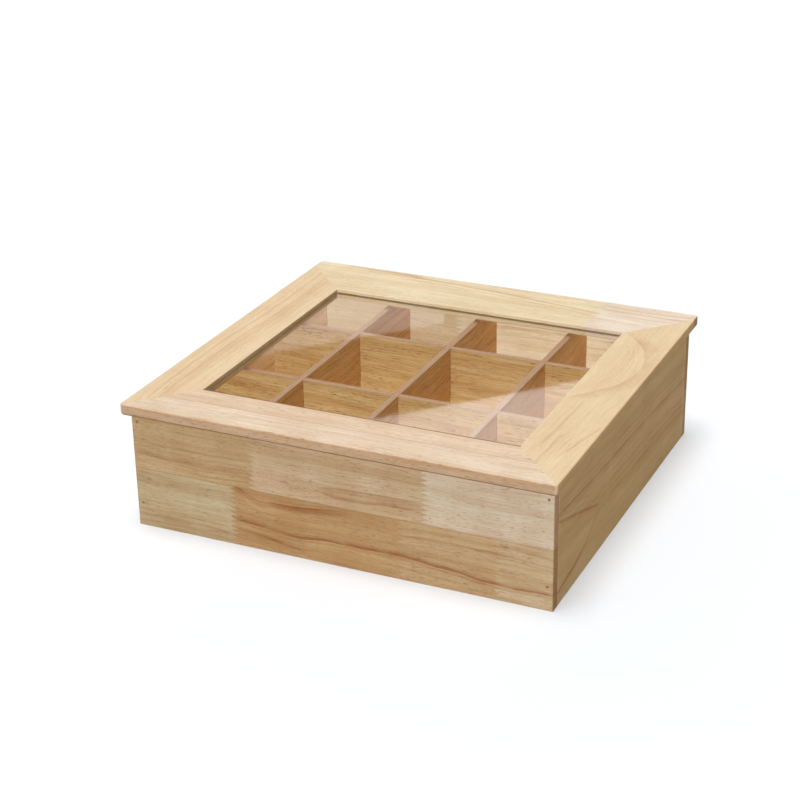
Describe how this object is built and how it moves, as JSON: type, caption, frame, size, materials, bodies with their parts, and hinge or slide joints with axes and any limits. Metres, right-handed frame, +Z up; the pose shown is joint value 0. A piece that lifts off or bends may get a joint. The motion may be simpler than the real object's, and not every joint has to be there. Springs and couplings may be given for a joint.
{
  "type": "tea bag organizer box",
  "caption": "Wooden tea bag box with a drop-in divider grid and a hinged, mitred lid framed round a clear pane.",
  "frame": {"origin": "on the resting surface, under the centre of the closed lid", "axes": "+X to the right seen from the front, along the box's longest side; -Y towards the front, which lifts when the lid opens; +Z up"},
  "size_m": [0.31, 0.3, 0.093],
  "materials": {
    "box_wood": "pale finger-jointed rubberwood with a satin clear lacquer",
    "lid_wood": "pale rubberwood rails with a satin clear lacquer",
    "divider_wood": "thin wood with plain sawn top edges, unlacquered",
    "bottom_ply": "thin plywood, unlacquered",
    "pane": "clear polished pane",
    "hinge_brass": "brassed steel, satin",
    "brad_steel": "bright steel brad, set below the face"
  },
  "bodies": {
    "box": {"front_panel": "box_wood", "back_panel": "box_wood", "left_side_panel": "box_wood", "right_side_panel": "box_wood", "bottom_board": "bottom_ply", "long_divider_left": "divider_wood", "long_divider_middle": "divider_wood", "long_divider_right": "divider_wood", "cross_divider_front": "divider_wood", "cross_divider_back": "divider_wood", "front_brads": "brad_steel", "back_brads": "brad_steel", "left_hinge_box_leaf": "hinge_brass", "left_hinge_pin": "hinge_brass", "left_hinge_box_screws": "hinge_brass", "right_hinge_box_leaf": "hinge_brass", "right_hinge_pin": "hinge_brass", "right_hinge_box_screws": "hinge_brass"},
    "lid": {"lid_front_rail": "lid_wood", "lid_back_rail": "lid_wood", "lid_left_rail": "lid_wood", "lid_right_rail": "lid_wood", "window_pane": "pane", "left_hinge_lid_leaf": "hinge_brass", "left_hinge_lid_screws": "hinge_brass", "right_hinge_lid_leaf": "hinge_brass", "right_hinge_lid_screws": "hinge_brass"}
  },
  "joints": [
    {"name": "lid_hinge", "type": "hinge", "parent": "box", "child": "lid", "pos_m": [0, 0.1445, 0.085], "axis": [-1, 0, 0], "range_deg": [0, 110]}
  ]
}
